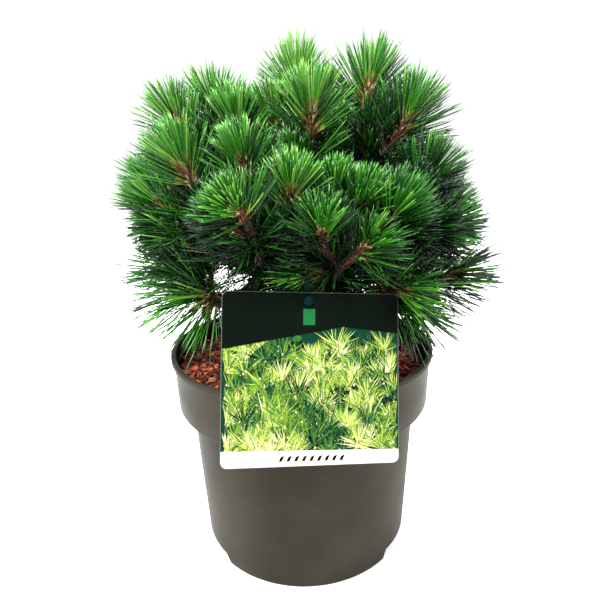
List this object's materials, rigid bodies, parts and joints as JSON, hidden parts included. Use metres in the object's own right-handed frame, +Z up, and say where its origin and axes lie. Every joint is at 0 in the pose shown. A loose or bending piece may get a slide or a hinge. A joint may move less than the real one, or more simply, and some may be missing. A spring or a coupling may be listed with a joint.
{
  "type": "potted nana austrian pine",
  "caption": "Dwarf Austrian pine with brush-like shoots on short boughs, in a round nursery pot mulched with bark, with a picture label hung on a peg.",
  "frame": {"origin": "centre of the pot's flat underside, at floor level", "axes": "+Z up along the pot's axis, -Y towards the side with the label, +X to the right as seen from there"},
  "size_m": [0.261, 0.2562, 0.3622],
  "materials": {
    "pot_plastic": "satin moulded taupe-grey plastic",
    "compost": "rough and dark",
    "bark_chips": "rough red-brown chips",
    "printed_card": "satin printed plastic card",
    "peg_plastic": "dark teal moulded plastic",
    "bark": "scaly grey-brown bark",
    "needles": "glossy needles, mid to dark green"
  },
  "bodies": {
    "root": {"pot": "pot_plastic", "soil": "compost", "bark_mulch": "bark_chips", "label_card": "printed_card", "label_peg": "peg_plastic", "trunk": "bark", "bough_low_right": "bark", "bough_low_left": "bark", "bough_low_back": "bark", "bough_low_back_left": "bark", "bough_front_right": "bark", "bough_low_back_right": "bark", "bough_left": "bark", "bough_right": "bark", "bough_front_left": "bark", "bough_upper_back": "bark", "bough_top_right": "bark", "bough_top_left": "bark", "needles_top": "needles", "needles_low_right": "needles", "needles_low_left": "needles", "needles_low_back": "needles", "needles_low_back_left": "needles", "needles_front_right": "needles", "needles_low_back_right": "needles", "needles_left": "needles", "needles_right": "needles", "needles_front_left": "needles", "needles_upper_back": "needles", "needles_top_right": "needles", "needles_top_left": "needles"}
  },
  "joints": []
}
